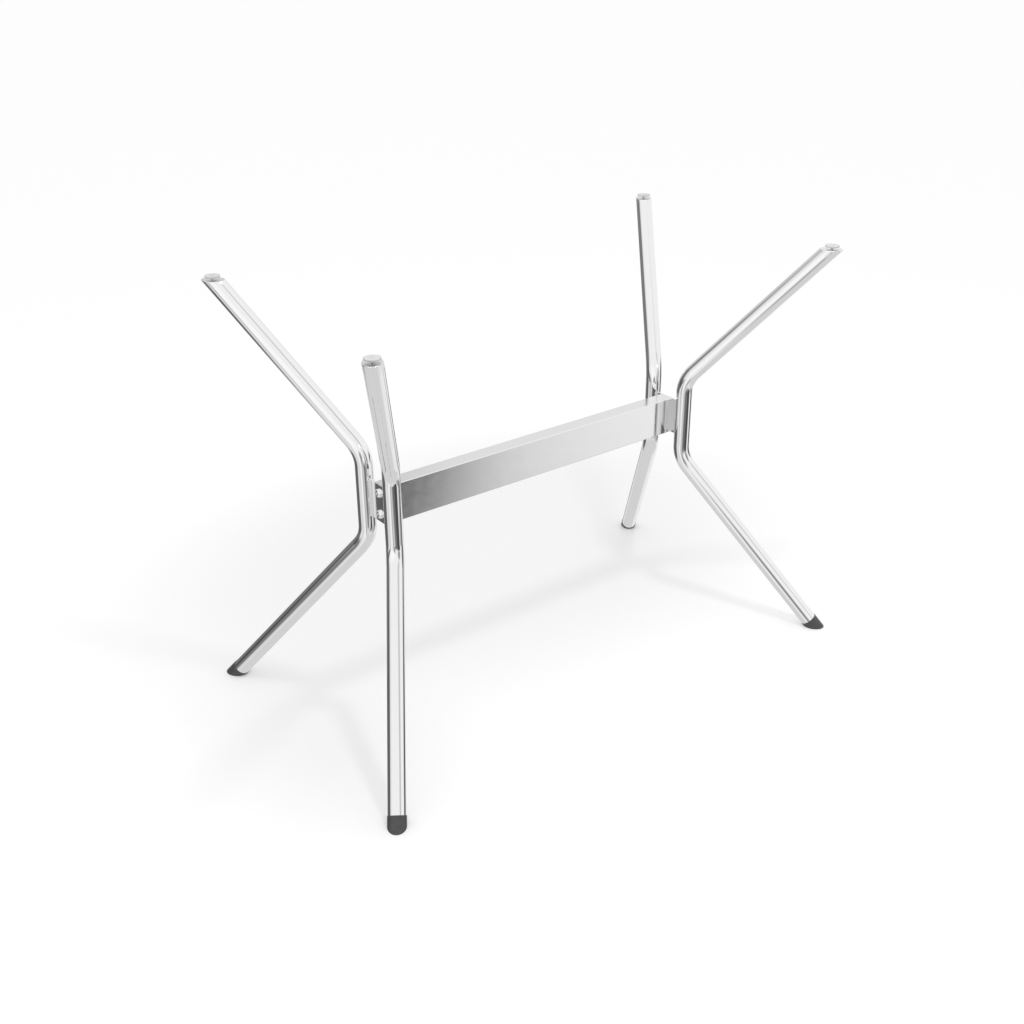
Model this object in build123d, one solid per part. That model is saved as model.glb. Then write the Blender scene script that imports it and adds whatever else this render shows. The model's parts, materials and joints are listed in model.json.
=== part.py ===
from build123d import *
import os
from math import acos, cos, radians, sin, sqrt, tan

# Dining table base: four bent chrome tubes in two pairs, joined by one flat beam.
# Millimetres. Z is up and Z = 0 is the floor. X runs along the beam, and the origin
# is on the floor below the middle of the beam. The base is the same on both sides of
# the XZ plane and of the YZ plane.

# Height of the table base
pad_top_height = 710.0        # floor to the pads that carry the table top

# Leg tubes
tube_diameter = 28.0
tube_wall = 2.0
bend_radius = 60.0            # at the tube's centre line
leg_azimuth = 55.0            # degrees from the beam to the plane of each leg
upper_arm_tilt = 42.1         # degrees from upright
lower_arm_tilt = 40.9         # degrees from upright
upright_length = 146.0        # between the two corners that the bends round off

# Beam
beam_length = 597.0
beam_height = 64.0
beam_thickness = 28.0
beam_wall = 2.0
beam_corner_radius = 1.2      # outside corners of the section
beam_centre_height = 380.0
beam_clearance = 11.5         # from the beam's sides to the leg tubes
upright_overhang = 4.0        # the uprights' axis lies this far beyond the beam's end

# End plates, their welds to the tubes and the threaded inserts behind them
plate_thickness = 3.0
plate_edge_gap = 0.05         # between the plate's edge and the tube, filled by the welds
plate_edge_break = 0.6        # small chamfer along the plate's top and bottom
weld_leg = 3.5                # how far a bead reaches over the plate
weld_gap = 0.02               # between a bead and the surfaces that it joins
weld_end_margin = 1.5         # a bead stops this short of the plate's top and bottom
insert_length = 20.0
insert_clearance = 0.1        # all round, inside the beam

# Bolts and washers
bolt_spacing = 36.0
bolt_diameter = 8.0
bolt_head_diameter = 14.0
bolt_head_height = 3.8
bolt_head_rim = 0.8           # straight part of the head, below the dome
bolt_dome_bulge = 0.6         # how far the dome stands out past a straight cone
bolt_crown_width = 0.6        # flat ring round the socket's corners
bolt_socket_width = 5.0       # across the flats of the hexagon
bolt_socket_depth = 2.4
bolt_length = 22.0            # under the head
bolt_tip_chamfer = 0.8
bolt_hole_clearance = 0.5     # all round, in the plate
thread_clearance = 0.05       # all round, in the insert
washer_diameter = 15.0
washer_thickness = 1.0
washer_hole_clearance = 0.2   # all round the bolt

# Plugs in the tube ends
plug_clearance = 0.1          # all round, in the tube
plug_length = 22.0            # how far each plug reaches into its tube
plug_groove_count = 3         # evenly spaced, with a rib either side of each
plug_groove_depth = 1.0
plug_groove_width = 2.4
plug_lead_chamfer = 1.2
top_plug_lip = 1.0            # least height of the top plug above its tube
top_plug_rounding = 0.8
foot_rim = 0.6                # how far the foot stands out past the tube
foot_sole = 3.2               # least thickness of the foot under its tube
foot_rounding = 0.8

# Pads for the table top
pad_diameter = 23.0
pad_thickness = 1.8
pad_rounding = 0.6
pad_gap = 4.2                 # from the plug's level top to the pad
stud_diameter = 4.0
stud_depth = 12.0             # into the top plug
stud_head_diameter = 9.0
stud_head_thickness = 0.8
stud_clearance = 0.05         # all round, in the plug and in the pad

# Places that follow from the sizes above
tube_radius = tube_diameter / 2
tube_bore_radius = tube_radius - tube_wall
upright_x = beam_length / 2 + upright_overhang
upright_y = beam_thickness / 2 + beam_clearance + tube_radius
upper_corner_height = beam_centre_height + upright_length / 2
lower_corner_height = beam_centre_height - upright_length / 2
plug_top_height = pad_top_height - pad_thickness - pad_gap
pad_bottom_height = pad_top_height - pad_thickness
upper_reach = (plug_top_height - upper_corner_height) * tan(radians(upper_arm_tilt))
lower_reach = lower_corner_height * tan(radians(lower_arm_tilt))
bolt_seat_x = beam_length / 2 + plate_thickness
cutter_size = 12 * tube_radius    # side of the blocks that trim the plugs

# The tube stops square where its highest edge is one lip below the plug's level top,
# and where its lowest edge is one sole above the floor.
top_cut = (top_plug_lip + tube_radius * sin(radians(upper_arm_tilt))) / cos(radians(upper_arm_tilt))
foot_cut = (foot_sole + tube_radius * sin(radians(lower_arm_tilt))) / cos(radians(lower_arm_tilt))

# Each leg is drawn once in its own upright plane: local X runs outwards from the
# upright along the leg's azimuth, local Z is up, and the upright is on the Z axis.
upper_end = Vector(upper_reach, 0, plug_top_height)
lower_end = Vector(lower_reach, 0, 0)
upper_corner = Vector(0, 0, upper_corner_height)
lower_corner = Vector(0, 0, lower_corner_height)
upper_direction = (upper_end - upper_corner).normalized()
lower_direction = (lower_end - lower_corner).normalized()
upper_tube_end = upper_end - upper_direction * top_cut
lower_tube_end = lower_end - lower_direction * foot_cut

corners = {
    "left_back": (-1, 1),
    "left_front": (-1, -1),
    "right_back": (1, 1),
    "right_front": (1, -1),
}
ends = {"left": -1, "right": 1}


def in_corner(shape, corner):
    """Turns and moves a shape from the leg's own plane to one of the four corners."""
    side_x, side_y = corners[corner]
    placed = Pos(upright_x, upright_y, 0) * Rot(0, 0, leg_azimuth) * shape
    if side_x < 0:
        placed = mirror(placed, about=Plane.YZ)
    if side_y < 0:
        placed = mirror(placed, about=Plane.XZ)
    return placed


def leg_tube():
    """One round tube with two bends, cut square at both ends."""
    path = FilletPolyline(
        upper_tube_end, upper_corner, lower_corner, lower_tube_end, radius=bend_radius
    )
    section_plane = Plane(origin=upper_tube_end, z_dir=path % 0)
    section = section_plane * (Circle(tube_radius) - Circle(tube_bore_radius))
    return sweep(section, path=path)


def level_cut_bar(radius, level_point, direction, rounding):
    """Round bar along a leg's arm, cut level through level_point and rounded at that cut."""
    bar = Plane(origin=level_point, z_dir=direction) * Cylinder(radius, cutter_size)
    upwards = direction.Z > 0
    waste = Pos(level_point) * Box(
        2 * cutter_size,
        2 * cutter_size,
        cutter_size,
        align=(Align.CENTER, Align.CENTER, Align.MIN if upwards else Align.MAX),
    )
    bar -= waste
    level_face = bar.faces().sort_by(Axis.Z)[-1 if upwards else 0]
    return fillet(level_face.edges(), rounding)


def beyond_tube(bar, tube_end, direction):
    """Keeps what stands out of the tube's square end."""
    inside = Plane(origin=tube_end, z_dir=direction) * Box(
        cutter_size, cutter_size, cutter_size, align=(Align.CENTER, Align.CENTER, Align.MAX)
    )
    return bar - inside


def tube_plug_spigot(tube_end, direction):
    """The part of a plug inside the tube: a stem with ribs that grip the bore."""
    rib_radius = tube_bore_radius - plug_clearance
    spigot = Cylinder(rib_radius, plug_length, align=(Align.CENTER, Align.CENTER, Align.MAX))
    spigot = chamfer(spigot.faces().sort_by(Axis.Z)[0].edges(), plug_lead_chamfer)
    groove_pitch = plug_length / (plug_groove_count + 1)
    ring = Cylinder(tube_radius, plug_groove_width) - Cylinder(
        rib_radius - plug_groove_depth, plug_groove_width
    )
    for groove in range(1, plug_groove_count + 1):
        spigot -= Pos(0, 0, -groove_pitch * groove) * ring
    return Plane(origin=tube_end, z_dir=direction) * spigot


def top_plug():
    """Bright plug, flush with the tube, with a level top and a hole for the stud."""
    body = level_cut_bar(tube_radius, upper_end, upper_direction, top_plug_rounding)
    body = beyond_tube(body, upper_tube_end, upper_direction)
    body += tube_plug_spigot(upper_tube_end, upper_direction)
    stud_hole = Pos(upper_reach, 0, plug_top_height) * Cylinder(
        stud_diameter / 2 + stud_clearance,
        stud_depth + stud_clearance,
        align=(Align.CENTER, Align.CENTER, Align.MAX),
    )
    return body - stud_hole


def foot_plug():
    """Dark plug, a little fatter than the tube, with a level sole rounded at its edge."""
    body = level_cut_bar(tube_radius + foot_rim, lower_end, lower_direction, foot_rounding)
    body = beyond_tube(body, lower_tube_end, lower_direction)
    return body + tube_plug_spigot(lower_tube_end, lower_direction)


def pad_stud():
    """Short pin pressed into the plug, with a thin head that the pad holds."""
    pin_length = stud_depth + pad_gap
    pin = Pos(upper_reach, 0, pad_bottom_height) * Cylinder(
        stud_diameter / 2, pin_length, align=(Align.CENTER, Align.CENTER, Align.MAX)
    )
    neck_height = (pad_thickness - stud_head_thickness) / 2
    neck = Pos(upper_reach, 0, pad_bottom_height) * Cylinder(
        stud_diameter / 2, neck_height, align=(Align.CENTER, Align.CENTER, Align.MIN)
    )
    head = Pos(upper_reach, 0, pad_bottom_height + neck_height) * Cylinder(
        stud_head_diameter / 2, stud_head_thickness, align=(Align.CENTER, Align.CENTER, Align.MIN)
    )
    return pin + neck + head


def pad():
    """Round disc for the table top, moulded round the stud's head."""
    disc = Cylinder(
        pad_diameter / 2, pad_thickness, align=(Align.CENTER, Align.CENTER, Align.MIN)
    )
    disc = fillet(disc.faces().sort_by(Axis.Z)[-1].edges(), pad_rounding)
    neck_height = (pad_thickness - stud_head_thickness) / 2
    disc -= Cylinder(
        stud_diameter / 2 + stud_clearance,
        neck_height,
        align=(Align.CENTER, Align.CENTER, Align.MIN),
    )
    disc -= Pos(0, 0, neck_height - stud_clearance) * Cylinder(
        stud_head_diameter / 2 + stud_clearance,
        stud_head_thickness + 2 * stud_clearance,
        align=(Align.CENTER, Align.CENTER, Align.MIN),
    )
    return Pos(upper_reach, 0, pad_bottom_height) * disc


def beam_section(length):
    """Rectangular hollow section along X, standing on edge."""
    outside = RectangleRounded(beam_thickness, beam_height, beam_corner_radius)
    inside = Rectangle(beam_thickness - 2 * beam_wall, beam_height - 2 * beam_wall)
    middle = Plane(origin=(0, 0, beam_centre_height), z_dir=(1, 0, 0), x_dir=(0, 1, 0))
    return extrude(middle * (outside - inside), amount=length / 2, both=True)


def bolt_heights():
    """Heights of the two bolts of one end."""
    return {
        "lower": beam_centre_height - bolt_spacing / 2,
        "upper": beam_centre_height + bolt_spacing / 2,
    }


def across_x(radius, start_x, length, height):
    """Cylinder along +X at the given height, on the beam's middle plane."""
    return Plane(origin=(start_x, 0, height), z_dir=(1, 0, 0)) * Cylinder(
        radius, length, align=(Align.CENTER, Align.CENTER, Align.MIN)
    )


def beam_insert():
    """Threaded steel block inside the beam's right end, flush with the end."""
    width = beam_thickness - 2 * beam_wall - 2 * insert_clearance
    height = beam_height - 2 * beam_wall - 2 * insert_clearance
    block = Pos(beam_length / 2, 0, beam_centre_height) * Box(
        insert_length, width, height, align=(Align.MAX, Align.CENTER, Align.CENTER)
    )
    for height_of_bolt in bolt_heights().values():
        block -= across_x(
            bolt_diameter / 2 + thread_clearance,
            beam_length / 2 - insert_length,
            insert_length,
            height_of_bolt,
        )
    return block


def end_plate():
    """Upright plate on the beam's right end, between the two uprights."""
    half_width = upright_y - tube_radius - plate_edge_gap
    plate = Pos(beam_length / 2, 0, beam_centre_height) * Box(
        plate_thickness, 2 * half_width, beam_height, align=(Align.MIN, Align.CENTER, Align.CENTER)
    )
    level_edges = plate.edges().filter_by(Axis.Y)
    plate = chamfer(level_edges, plate_edge_break)
    for height_of_bolt in bolt_heights().values():
        plate -= across_x(
            bolt_diameter / 2 + bolt_hole_clearance,
            beam_length / 2,
            plate_thickness,
            height_of_bolt,
        )
    return plate


def weld_bead(face_side):
    """Fillet weld between the plate and the back tube. face_side is 1 outside, -1 inside."""
    if face_side > 0:
        plate_face = plate_thickness - upright_overhang + weld_gap
    else:
        plate_face = upright_overhang + weld_gap
    tube_face = tube_radius + weld_gap
    plate_toe = Vector(plate_face, -tube_radius - weld_leg)
    root = Vector(plate_face, -sqrt(tube_face**2 - plate_face**2))
    toe_turn = weld_leg / tube_radius
    toe_angle = acos(plate_face / tube_face) - toe_turn
    tube_toe = Vector(tube_face * cos(toe_angle), -tube_face * sin(toe_angle))
    tube_middle_angle = toe_angle + toe_turn / 2
    tube_middle = Vector(
        tube_face * cos(tube_middle_angle), -tube_face * sin(tube_middle_angle)
    )
    outline = make_face(
        [
            Line(plate_toe, root),
            ThreePointArc(root, tube_middle, tube_toe),
            Line(tube_toe, plate_toe),
        ]
    )
    height = beam_height - 2 * weld_end_margin
    bead = extrude(outline, amount=height / 2, both=True)
    if face_side < 0:
        bead = mirror(bead, about=Plane.YZ)
    return Pos(upright_x, upright_y, beam_centre_height) * bead


def washer(height):
    """Plain washer on the right end plate."""
    ring = across_x(washer_diameter / 2, bolt_seat_x, washer_thickness, height)
    hole = across_x(
        bolt_diameter / 2 + washer_hole_clearance, bolt_seat_x, washer_thickness, height
    )
    return ring - hole


def beam_bolt(height):
    """Button head screw with a hexagon socket, through the right end plate."""
    head_seat_x = bolt_seat_x + washer_thickness
    head_radius = bolt_head_diameter / 2
    crown_radius = bolt_socket_width / sqrt(3) + bolt_crown_width
    profile = make_face(
        Polyline(
            (crown_radius, bolt_head_height),
            (0, bolt_head_height),
            (0, -bolt_length),
            (bolt_diameter / 2, -bolt_length),
            (bolt_diameter / 2, 0),
            (head_radius, 0),
            (head_radius, bolt_head_rim),
        )
        + SagittaArc(
            (crown_radius, bolt_head_height), (head_radius, bolt_head_rim), bolt_dome_bulge
        )
    )
    bolt = revolve(Plane.XZ * profile, axis=Axis.Z)
    bolt = chamfer(bolt.faces().sort_by(Axis.Z)[0].edges(), bolt_tip_chamfer)
    socket = Pos(0, 0, bolt_head_height) * extrude(
        RegularPolygon(bolt_socket_width / 2, 6, major_radius=False), amount=-bolt_socket_depth
    )
    bolt -= socket
    return Plane(origin=(head_seat_x, 0, height), z_dir=(1, 0, 0)) * bolt


def write(name, shape):
    """Writes one piece to its own STEP file."""
    solids = shape.solids()
    piece = solids[0] if len(solids) == 1 else Compound(children=list(solids))
    piece.label = name
    export_step(piece, f"parts/{name}.step")


def at_end(shape, end):
    """Leaves a shape at the right end, or mirrors it to the left end."""
    if ends[end] < 0:
        return mirror(shape, about=Plane.YZ)
    return shape


def main():
    os.makedirs("parts", exist_ok=True)

    corner_pieces = {
        "leg_tube": leg_tube(),
        "top_plug": top_plug(),
        "foot_plug": foot_plug(),
        "pad_stud": pad_stud(),
        "pad": pad(),
    }
    for corner in corners:
        for piece, shape in corner_pieces.items():
            write(f"{corner}_{piece}", in_corner(shape, corner))

    write("beam", beam_section(beam_length))
    beads = {"outer": weld_bead(1), "inner": weld_bead(-1)}
    for end in ends:
        write(f"{end}_beam_insert", at_end(beam_insert(), end))
        write(f"{end}_end_plate", at_end(end_plate(), end))
        for level, height in bolt_heights().items():
            write(f"{end}_{level}_washer", at_end(washer(height), end))
            write(f"{end}_{level}_bolt", at_end(beam_bolt(height), end))
        for face, bead in beads.items():
            back_bead = at_end(bead, end)
            write(f"{end}_back_{face}_weld", back_bead)
            write(f"{end}_front_{face}_weld", mirror(back_bead, about=Plane.XZ))


main()
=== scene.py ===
import json
from math import cos, radians, sin

import bpy
from mathutils import Matrix, Vector

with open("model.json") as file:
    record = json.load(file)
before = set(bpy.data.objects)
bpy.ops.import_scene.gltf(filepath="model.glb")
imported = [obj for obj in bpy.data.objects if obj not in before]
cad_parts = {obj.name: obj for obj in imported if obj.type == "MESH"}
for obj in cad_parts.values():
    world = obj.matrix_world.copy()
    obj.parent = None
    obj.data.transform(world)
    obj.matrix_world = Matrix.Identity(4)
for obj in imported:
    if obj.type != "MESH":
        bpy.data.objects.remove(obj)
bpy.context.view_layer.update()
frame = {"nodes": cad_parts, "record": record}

# Dining table base: four bent chrome tubes in two pairs, joined by one flat beam.
# Metres, degrees and watts. X runs along the beam, Z is up and the floor is Z = 0.
# Azimuths are counted from +Y towards +X, and elevations from level.

# Camera
camera_place = Vector((-1.2091, -1.5441, 1.2586))
camera_azimuth = 38.24
camera_drop = 26.69           # how far it looks down
camera_roll = -0.2
camera_shift = -0.0254        # the photograph is cropped a little off its middle
focal_length_mm = 45.37
sensor_width_mm = 36.0

# Lamp, and the world's level on matt surfaces
sky_for_matt_surfaces = 0.76
lamp_place = Vector((0.04, -0.57, 1.96))
lamp_target = Vector((0, 0, 0.1))
lamp_diameter = 0.22
lamp_watts = 4.0

# Floor
floor_width = 30.0
floor_grey = 0.9
floor_lift = 0.3              # what the camera sees above the light that falls on it
painted_shadow_lift = 0.18              # the same in the middle of the ellipses below, lower there to paint a soft shadow

# A soft shadow of the base is painted on the floor inside these ellipses, where it is lifted less.
# Each has its middle in X and Y, its half widths and its softness.
painted_shadow_ellipses = [
    (0.13, 0.37, 0.95, 0.68, 0.6),
    (-0.43, -0.03, 0.32, 0.42, 1.0),
]

# Studio that polished metal mirrors
ground_level = 0.67
sky_level = 0.92
ground_edge = -38.0           # the elevation where one turns into the other
ground_edge_softness = 5.0

# Dark and pale patches of that studio. Later ones lie over earlier ones. Each has its azimuth,
# elevation, half width, half height, tilt, softness and level.
studio_patches = [
    (-110, 5, 45, 25, 0, 0.5, 1.0),
    (27, 27, 9, 16, 0, 0.8, 0.64),
    (39, 27, 7, 14, 0, 0.8, 0.9),
    (-90, -30, 24, 12, 0, 0.8, 0.68),
    (72, -46, 26, 16, 0, 0.6, 0.85),
    (-12, 0, 90, 58, 0, 0.85, 0.54),
    (160, 36, 17, 30, 0, 0.8, 0.56),
    (-142, -11, 22, 9, -35, 0.8, 0.26),
    (-136, -30, 24, 7, 33, 0.9, 0.4),
    (163, -3, 20, 22, 0, 0.6, 0.3),
    (127, -32, 34, 9, -8, 0.6, 0.4),
    (171, -24, 38, 16, 0, 0.5, 0.56),
    (-165, -24, 46, 13, 8, 0.9, 0.15),
    (164, -24, 21.5, 12, 0, 0.32, 0.072),
    (104, -16, 26, 22, 10, 0.55, 0.1),
    (38, -26, 17, 12, 0, 0.6, 0.064),
    (-76, -12, 28, 10, 22, 0.6, 0.22),
    (-34, 5, 32, 30, 0, 0.5, 0.2),
    (-25, -10, 60, 13, 0, 0.45, 0.18),
    (-46, -4, 18, 13, 0, 0.8, 0.072),
    (-30, -28, 46, 16, 0, 0.45, 0.12),
]

# Polished metals. Each has its palest and deepest grey, its least and most roughness, and how
# many clouds there are to a metre.
polished_metals = {
    "tube_chrome": (0.95, 0.92, 0.02, 0.05, 60.0),
    "plug_chrome": (0.96, 0.93, 0.2, 0.28, 60.0),
    "stud_metal": (0.6, 0.5, 0.3, 0.4, 400.0),
    "beam_metal": (0.94, 0.91, 0.09, 0.13, 60.0),
    "plate_metal": (0.93, 0.88, 0.05, 0.1, 60.0),
    "insert_metal": (0.5, 0.42, 0.3, 0.45, 300.0),
    "bolt_metal": (0.95, 0.9, 0.05, 0.1, 60.0),
}

# Other finishes
noise_range = (0.3, 0.7)      # what most of a noise lies between
mottle_scale = 90.0           # features to a metre, as the next two
moulded_grain_scale = 2500.0
weld_grain_scale = 500.0
weld_stretch = (0.4, 0.4, 1.6)
weld_ripple_depth = 0.0008
foot_grain_depth = 0.00003
pad_grain_depth = 0.00002
pad_painted_shade_rim = (0.4, 0.49)        # where the painted shade on the rim starts and is full, in pad diameters


def shader_tree(owner):
    """Gives a material or world an empty node tree."""
    owner.use_nodes = True
    tree = owner.node_tree
    tree.nodes.clear()
    return tree


def node(tree, kind, **settings):
    """Adds a node. Settings are its properties; socket values are set afterwards."""
    made = tree.nodes.new(kind)
    for key, value in settings.items():
        setattr(made, key, value)
    return made


def feed(tree, socket, value):
    """Links a socket, or sets its value."""
    if isinstance(value, bpy.types.NodeSocket):
        tree.links.new(value, socket)
    else:
        socket.default_value = value


def maths(tree, operation, first, second=0.0):
    """One Math node, and its result."""
    made = node(tree, "ShaderNodeMath", operation=operation)
    feed(tree, made.inputs[0], first)
    feed(tree, made.inputs[1], second)
    return made.outputs[0]


def ramp(tree, value, from_low, from_high, to_low, to_high):
    """Maps a value from one range to another with soft ends, and stays within it."""
    made = node(tree, "ShaderNodeMapRange", interpolation_type="SMOOTHSTEP")
    for name, part in (
        ("Value", value),
        ("From Min", from_low),
        ("From Max", from_high),
        ("To Min", to_low),
        ("To Max", to_high),
    ):
        feed(tree, made.inputs[name], part)
    return made.outputs["Result"]


def mix_value(tree, share, first, second):
    """Goes from the first value to the second as share goes from 0 to 1."""
    made = node(tree, "ShaderNodeMix", data_type="FLOAT")
    feed(tree, made.inputs[0], share)
    feed(tree, made.inputs[2], first)
    feed(tree, made.inputs[3], second)
    return made.outputs[0]


def mix_colour(tree, share, first, second):
    """Goes from the first colour to the second as share goes from 0 to 1."""
    made = node(tree, "ShaderNodeMix", data_type="RGBA")
    feed(tree, made.inputs["Factor"], share)
    feed(tree, made.inputs["A"], first)
    feed(tree, made.inputs["B"], second)
    return made.outputs["Result"]


def split(tree, vector):
    """The X, Y and Z of a vector, by name."""
    made = node(tree, "ShaderNodeSeparateXYZ")
    tree.links.new(vector, made.inputs[0])
    return made.outputs


def weighted_sum(tree, first, first_weight, second, second_weight):
    """The sum of two values, each times its own number."""
    return maths(
        tree,
        "ADD",
        maths(tree, "MULTIPLY", first, first_weight),
        maths(tree, "MULTIPLY", second, second_weight),
    )


def distance_of(tree, across, along):
    """How far a point lies from the origin of a plane."""
    square = maths(
        tree,
        "ADD",
        maths(tree, "MULTIPLY", across, across),
        maths(tree, "MULTIPLY", along, along),
    )
    return maths(tree, "SQRT", square)


def studio_patch(tree, direction, elevation, patch):
    """How much of one patch a direction meets, from 0 to 1."""
    azimuth, middle, half_width, half_height, tilt, softness, _ = patch
    turned = node(tree, "ShaderNodeVectorRotate", rotation_type="Z_AXIS")
    feed(tree, turned.inputs["Vector"], direction)
    turned.inputs["Angle"].default_value = radians(azimuth)
    parts = split(tree, turned.outputs[0])
    sideways = maths(tree, "ARCTAN2", parts["X"], parts["Y"])
    lifted = maths(tree, "SUBTRACT", elevation, radians(middle))
    lean = radians(tilt)
    across = weighted_sum(
        tree, sideways, cos(lean) / radians(half_width), lifted, sin(lean) / radians(half_width)
    )
    along = weighted_sum(
        tree, sideways, -sin(lean) / radians(half_height), lifted, cos(lean) / radians(half_height)
    )
    return ramp(tree, distance_of(tree, across, along), 1 - softness, 1.0, 1.0, 0.0)


def studio_level(tree):
    """What polished metal mirrors in each direction: pale walls with darker patches."""
    direction = node(tree, "ShaderNodeTexCoord").outputs["Generated"]
    elevation = maths(tree, "ARCSINE", split(tree, direction)["Z"])
    lowest = radians(ground_edge - ground_edge_softness)
    highest = radians(ground_edge + ground_edge_softness)
    above_ground = ramp(tree, elevation, lowest, highest, 0.0, 1.0)
    level = mix_value(tree, above_ground, ground_level, sky_level)
    for patch in studio_patches:
        share = studio_patch(tree, direction, elevation, patch)
        level = mix_value(tree, share, level, patch[-1])
    return level


def light_world():
    """World: white to the camera, plain to matt surfaces, and the studio to polished ones."""
    world = bpy.data.worlds.new("studio")
    bpy.context.scene.world = world
    tree = shader_tree(world)
    path = node(tree, "ShaderNodeLightPath")
    mirrored = mix_value(
        tree, path.outputs["Is Glossy Ray"], sky_for_matt_surfaces, studio_level(tree)
    )
    background = node(tree, "ShaderNodeBackground")
    background.inputs["Color"].default_value = grey(1.0)
    strength = mix_value(tree, path.outputs["Is Camera Ray"], mirrored, 1.0)
    feed(tree, background.inputs["Strength"], strength)
    output = node(tree, "ShaderNodeOutputWorld")
    tree.links.new(background.outputs[0], output.inputs["Surface"])


def hang_lamp():
    """One small round lamp above the front, for the soft shadows."""
    lamp = bpy.data.lights.new("overhead_lamp", "AREA")
    lamp.shape = "DISK"
    lamp.size = lamp_diameter
    lamp.energy = lamp_watts
    lamp_object = bpy.data.objects.new("overhead_lamp", lamp)
    lamp_object.location = lamp_place
    aim = lamp_target - lamp_place
    lamp_object.rotation_euler = aim.to_track_quat("-Z", "Y").to_euler()
    bpy.context.scene.collection.objects.link(lamp_object)


def place_camera():
    """Camera at the photograph's angle."""
    azimuth, drop, roll = radians(camera_azimuth), radians(camera_drop), radians(camera_roll)
    forward = Vector((sin(azimuth) * cos(drop), cos(azimuth) * cos(drop), -sin(drop)))
    level_right = Vector((cos(azimuth), -sin(azimuth), 0))
    level_down = forward.cross(level_right)
    right = cos(roll) * level_right + sin(roll) * level_down
    up = sin(roll) * level_right - cos(roll) * level_down
    turn = Matrix((right, up, -forward)).transposed().to_4x4()
    camera = bpy.data.cameras.new("camera")
    camera.lens = focal_length_mm
    camera.sensor_width = sensor_width_mm
    camera.shift_x = camera_shift
    camera_object = bpy.data.objects.new("camera", camera)
    camera_object.matrix_world = Matrix.Translation(camera_place) @ turn
    bpy.context.scene.collection.objects.link(camera_object)
    bpy.context.scene.camera = camera_object


def grey(level):
    """A neutral colour of the given level."""
    return (level, level, level, 1.0)


def principled(name):
    """A new material with one Principled shader. Returns the material, its tree and the shader."""
    material = bpy.data.materials.new(name)
    tree = shader_tree(material)
    shader = node(tree, "ShaderNodeBsdfPrincipled")
    output = node(tree, "ShaderNodeOutputMaterial")
    tree.links.new(shader.outputs[0], output.inputs["Surface"])
    return material, tree, shader


def grain(tree, scale, detail=2.0, stretch=(1.0, 1.0, 1.0)):
    """Noise in the object's own space, from 0 to 1. Scale counts features to a metre."""
    place = node(tree, "ShaderNodeTexCoord")
    stretched = node(tree, "ShaderNodeMapping")
    stretched.inputs["Scale"].default_value = stretch
    tree.links.new(place.outputs["Object"], stretched.inputs["Vector"])
    noise = node(tree, "ShaderNodeTexNoise")
    noise.inputs["Scale"].default_value = scale
    noise.inputs["Detail"].default_value = detail
    tree.links.new(stretched.outputs[0], noise.inputs["Vector"])
    return noise.outputs["Fac"]


def vary_roughness(tree, shader, noise, smoothest, dullest):
    """Lets a shader's roughness follow a noise."""
    low, high = noise_range
    feed(tree, shader.inputs["Roughness"], ramp(tree, noise, low, high, smoothest, dullest))


def bump(tree, shader, height, depth):
    """Puts a bump of the given depth on a shader."""
    made = node(tree, "ShaderNodeBump")
    made.inputs["Strength"].default_value = 1.0
    made.inputs["Distance"].default_value = depth
    tree.links.new(height, made.inputs["Height"])
    tree.links.new(made.outputs[0], shader.inputs["Normal"])


def polished_metal(name, palest, deepest, smoothest, dullest, cloud_scale):
    """Plated metal: faint cloudiness in its colour and in its gloss."""
    material, tree, shader = principled(name)
    cloud = grain(tree, cloud_scale, detail=4.0)
    feed(tree, shader.inputs["Base Color"], mix_colour(tree, cloud, grey(deepest), grey(palest)))
    vary_roughness(tree, shader, cloud, smoothest, dullest)
    shader.inputs["Metallic"].default_value = 1.0
    return material


def foot_plastic():
    """Dark moulded plastic: fine grain in its surface and a slight mottle in its colour."""
    material, tree, shader = principled("foot_plastic")
    mottle = grain(tree, mottle_scale, detail=3.0)
    feed(tree, shader.inputs["Base Color"], mix_colour(tree, mottle, grey(0.05), grey(0.1)))
    fine = grain(tree, moulded_grain_scale)
    vary_roughness(tree, shader, fine, 0.37, 0.47)
    bump(tree, shader, fine, foot_grain_depth)
    return material


def pad_plastic():
    """Pale slightly translucent plastic, with shade painted darker round the disc's edge."""
    material, tree, shader = principled("pad_plastic")
    place = split(tree, node(tree, "ShaderNodeTexCoord").outputs["Generated"])
    across = maths(tree, "SUBTRACT", place["X"], 0.5)
    along = maths(tree, "SUBTRACT", place["Y"], 0.5)
    edge_starts, edge_is_full = pad_painted_shade_rim
    # Painted shade: the colour darkens to grey 0.6 towards the disc's rim.
    edge = ramp(tree, distance_of(tree, across, along), edge_starts, edge_is_full, 0.0, 1.0)
    mottle = grain(tree, mottle_scale, detail=3.0)
    body = mix_colour(tree, mottle, grey(0.8), grey(0.86))
    feed(tree, shader.inputs["Base Color"], mix_colour(tree, edge, body, grey(0.6)))
    fine = grain(tree, moulded_grain_scale)
    vary_roughness(tree, shader, fine, 0.35, 0.45)
    bump(tree, shader, fine, pad_grain_depth)
    shader.inputs["Subsurface Weight"].default_value = 0.4
    shader.inputs["Subsurface Radius"].default_value = (1.0, 1.0, 1.0)
    shader.inputs["Subsurface Scale"].default_value = 0.003
    return material


def weld_metal():
    """Plated weld bead: ripples a little over a millimetre apart, and uneven gloss."""
    material, tree, shader = principled("weld_metal")
    cloud = grain(tree, weld_grain_scale, detail=4.0)
    feed(tree, shader.inputs["Base Color"], mix_colour(tree, cloud, grey(0.8), grey(0.92)))
    vary_roughness(tree, shader, cloud, 0.1, 0.2)
    ripples = grain(tree, weld_grain_scale, detail=1.0, stretch=weld_stretch)
    bump(tree, shader, ripples, weld_ripple_depth)
    return material


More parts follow.
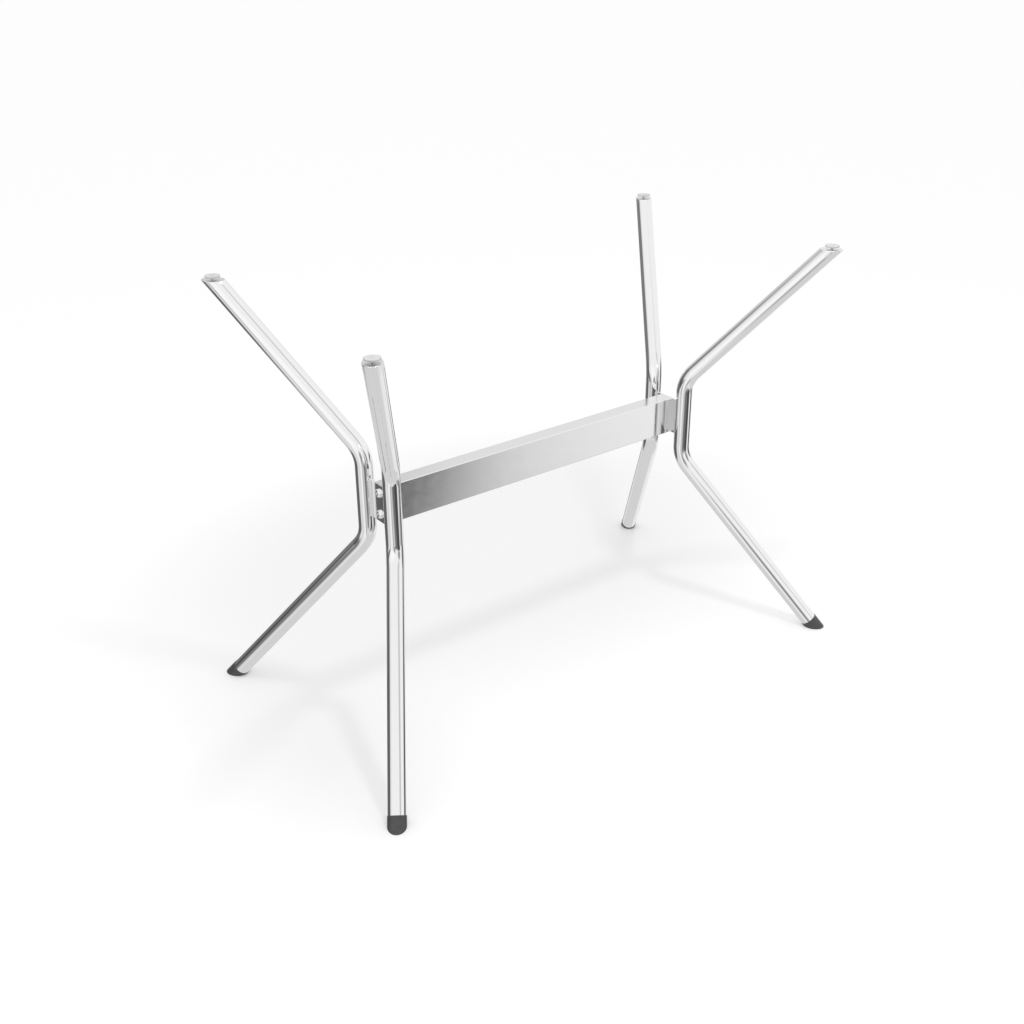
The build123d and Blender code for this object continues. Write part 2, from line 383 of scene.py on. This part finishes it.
def dress_nodes():
    """Gives every CAD node the material of its slot in the record."""
    materials = {name: polished_metal(name, *look) for name, look in polished_metals.items()}
    materials["foot_plastic"] = foot_plastic()
    materials["pad_plastic"] = pad_plastic()
    materials["weld_metal"] = weld_metal()
    slots = {part["node"]: part["material_slot"] for part in frame["record"]["subparts"]}
    for name, item in frame["nodes"].items():
        item.data.materials.clear()
        item.data.materials.append(materials[slots[name]])


def floor_material():
    """Matt white, lifted for the camera alone but less inside the ellipses to paint a soft shadow,
    and clear to polished metal.
    """
    material = bpy.data.materials.new("floor")
    tree = shader_tree(material)
    matt = node(tree, "ShaderNodeBsdfDiffuse")
    matt.inputs["Color"].default_value = grey(floor_grey)
    place = split(tree, node(tree, "ShaderNodeTexCoord").outputs["Object"])
    clear_of_painted_shadow = 1.0
    # Painted shadow: the lift for the camera is smaller inside each ellipse.
    for middle_x, middle_y, half_x, half_y, softness in painted_shadow_ellipses:
        across = maths(tree, "DIVIDE", maths(tree, "SUBTRACT", place["X"], middle_x), half_x)
        along = maths(tree, "DIVIDE", maths(tree, "SUBTRACT", place["Y"], middle_y), half_y)
        outside = ramp(tree, distance_of(tree, across, along), 1 - softness, 1.0, 0.0, 1.0)
        clear_of_painted_shadow = maths(tree, "MULTIPLY", outside, clear_of_painted_shadow)
    path = node(tree, "ShaderNodeLightPath")
    bright = mix_value(tree, clear_of_painted_shadow, painted_shadow_lift, floor_lift)
    lift = node(tree, "ShaderNodeEmission")
    seen = maths(tree, "MULTIPLY", bright, path.outputs["Is Camera Ray"])
    feed(tree, lift.inputs["Strength"], seen)
    both = node(tree, "ShaderNodeAddShader")
    tree.links.new(matt.outputs[0], both.inputs[0])
    tree.links.new(lift.outputs[0], both.inputs[1])
    clear = node(tree, "ShaderNodeBsdfTransparent")
    choice = node(tree, "ShaderNodeMixShader")
    tree.links.new(path.outputs["Is Glossy Ray"], choice.inputs[0])
    tree.links.new(both.outputs[0], choice.inputs[1])
    tree.links.new(clear.outputs[0], choice.inputs[2])
    output = node(tree, "ShaderNodeOutputMaterial")
    tree.links.new(choice.outputs[0], output.inputs["Surface"])
    return material


def lay_floor():
    """White floor that keeps the object's cast shadow, with a soft shadow painted on it too."""
    half = floor_width / 2
    corners = [(-half, -half, 0), (half, -half, 0), (half, half, 0), (-half, half, 0)]
    mesh = bpy.data.meshes.new("floor")
    mesh.from_pydata(corners, [], [(0, 1, 2, 3)])
    mesh.materials.append(floor_material())
    floor = bpy.data.objects.new("floor", mesh)
    bpy.context.scene.collection.objects.link(floor)


place_camera()
light_world()
hang_lamp()
lay_floor()
dress_nodes()
bpy.context.scene.view_settings.view_transform = "Standard"
